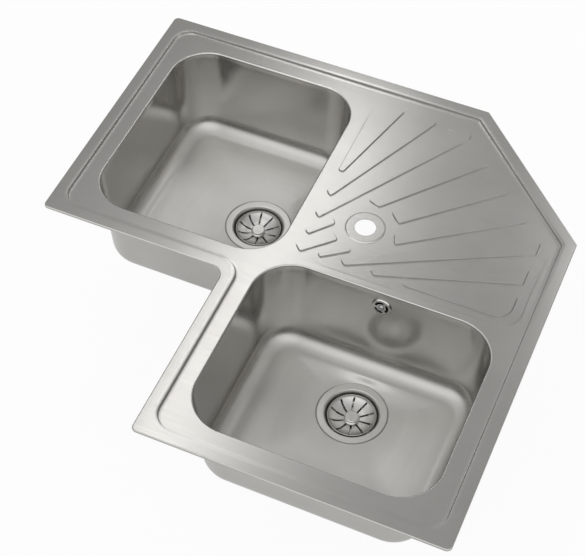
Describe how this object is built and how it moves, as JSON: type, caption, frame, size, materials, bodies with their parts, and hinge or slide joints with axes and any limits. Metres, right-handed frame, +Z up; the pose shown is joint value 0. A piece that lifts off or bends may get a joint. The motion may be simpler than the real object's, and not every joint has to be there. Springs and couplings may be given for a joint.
{
  "type": "corner kitchen sink",
  "caption": "Inset corner kitchen sink of pressed stainless steel: a bowl on each arm, a sunray drainer with a tap hole in the corner, strainer wastes, overflow and fixing clips.",
  "frame": {"origin": "centre of the square plan, on the worktop's surface, which is the underside of the rim", "axes": "+Z up; +Y towards one back wall and +X towards the other; the two arms reach to -X and to -Y, and the cut-off back corner faces +X+Y"},
  "size_m": [0.83, 0.83, 0.2834],
  "materials": {
    "brushed_steel": "satin, fine brushed grain",
    "drawn_steel": "satin, drawn and brushed",
    "polished_steel": "polished stainless steel",
    "zinc": "zinc-plated steel",
    "black_plastic": "moulded polypropylene",
    "grey_plastic": "moulded ribbed hose",
    "rubber": "matt rubber",
    "foam": "closed-cell foam strip",
    "bitumen": "bitumen sound pad"
  },
  "bodies": {
    "sink": {"deck": "brushed_steel", "bowl_left": "drawn_steel", "bowl_right": "drawn_steel", "sound_pad_left": "bitumen", "sound_pad_right": "bitumen", "rim_seal": "foam", "waste_flange_left": "polished_steel", "floor_gasket_left": "rubber", "waste_cup_left": "black_plastic", "cup_bolt_left": "zinc", "outlet_washer_left": "rubber", "outlet_nut_left": "black_plastic", "waste_flange_right": "polished_steel", "floor_gasket_right": "rubber", "waste_cup_right": "black_plastic", "cup_bolt_right": "zinc", "outlet_washer_right": "rubber", "outlet_nut_right": "black_plastic", "overflow_rosette": "polished_steel", "overflow_screw": "zinc", "overflow_gasket": "rubber", "overflow_housing": "black_plastic", "overflow_hose": "grey_plastic", "hose_nut_upper": "black_plastic", "hose_nut_lower": "black_plastic", "clip_bracket_1": "zinc", "clip_screw_1": "zinc", "clip_bracket_2": "zinc", "clip_screw_2": "zinc", "clip_bracket_3": "zinc", "clip_screw_3": "zinc", "clip_bracket_4": "zinc", "clip_screw_4": "zinc", "clip_bracket_5": "zinc", "clip_screw_5": "zinc", "clip_bracket_6": "zinc", "clip_screw_6": "zinc", "clip_bracket_7": "zinc", "clip_screw_7": "zinc", "clip_bracket_8": "zinc", "clip_screw_8": "zinc"},
    "basket_left": {"basket_left": "polished_steel", "basket_knob_left": "polished_steel", "plug_plate_left": "polished_steel", "plug_seal_left": "rubber"},
    "basket_right": {"basket_right": "polished_steel", "basket_knob_right": "polished_steel", "plug_plate_right": "polished_steel", "plug_seal_right": "rubber"},
    "claw_1": {"clip_claw_1": "zinc"},
    "claw_2": {"clip_claw_2": "zinc"},
    "claw_3": {"clip_claw_3": "zinc"},
    "claw_4": {"clip_claw_4": "zinc"},
    "claw_5": {"clip_claw_5": "zinc"},
    "claw_6": {"clip_claw_6": "zinc"},
    "claw_7": {"clip_claw_7": "zinc"},
    "claw_8": {"clip_claw_8": "zinc"}
  },
  "joints": [
    {"name": "basket_left_lift", "type": "slide", "parent": "sink", "child": "basket_left", "axis": [0, 0, 1], "range_m": [0, 0.25]},
    {"name": "basket_right_lift", "type": "slide", "parent": "sink", "child": "basket_right", "axis": [0, 0, 1], "range_m": [0, 0.25]},
    {"name": "claw_1_swing", "type": "hinge", "parent": "sink", "child": "claw_1", "pos_m": [-0.3775, 0.164, -0.033], "axis": [0, 0, -1], "range_deg": [0, 90]},
    {"name": "claw_2_swing", "type": "hinge", "parent": "sink", "child": "claw_2", "pos_m": [-0.189, 0.3775, -0.033], "axis": [0, 0, -1], "range_deg": [0, 90]},
    {"name": "claw_3_swing", "type": "hinge", "parent": "sink", "child": "claw_3", "pos_m": [0.168, 0.3775, -0.033], "axis": [0, 0, -1], "range_deg": [0, 90]},
    {"name": "claw_4_swing", "type": "hinge", "parent": "sink", "child": "claw_4", "pos_m": [0.27548, 0.27548, -0.033], "axis": [0, 0, -1], "range_deg": [0, 90]},
    {"name": "claw_5_swing", "type": "hinge", "parent": "sink", "child": "claw_5", "pos_m": [0.3775, 0.168, -0.033], "axis": [0, 0, -1], "range_deg": [0, 90]},
    {"name": "claw_6_swing", "type": "hinge", "parent": "sink", "child": "claw_6", "pos_m": [0.3775, -0.189, -0.033], "axis": [0, 0, -1], "range_deg": [0, 90]},
    {"name": "claw_7_swing", "type": "hinge", "parent": "sink", "child": "claw_7", "pos_m": [0.164, -0.3775, -0.033], "axis": [0, 0, -1], "range_deg": [0, 90]},
    {"name": "claw_8_swing", "type": "hinge", "parent": "sink", "child": "claw_8", "pos_m": [-0.249, -0.0475, -0.033], "axis": [0, 0, -1], "range_deg": [0, 90]}
  ]
}
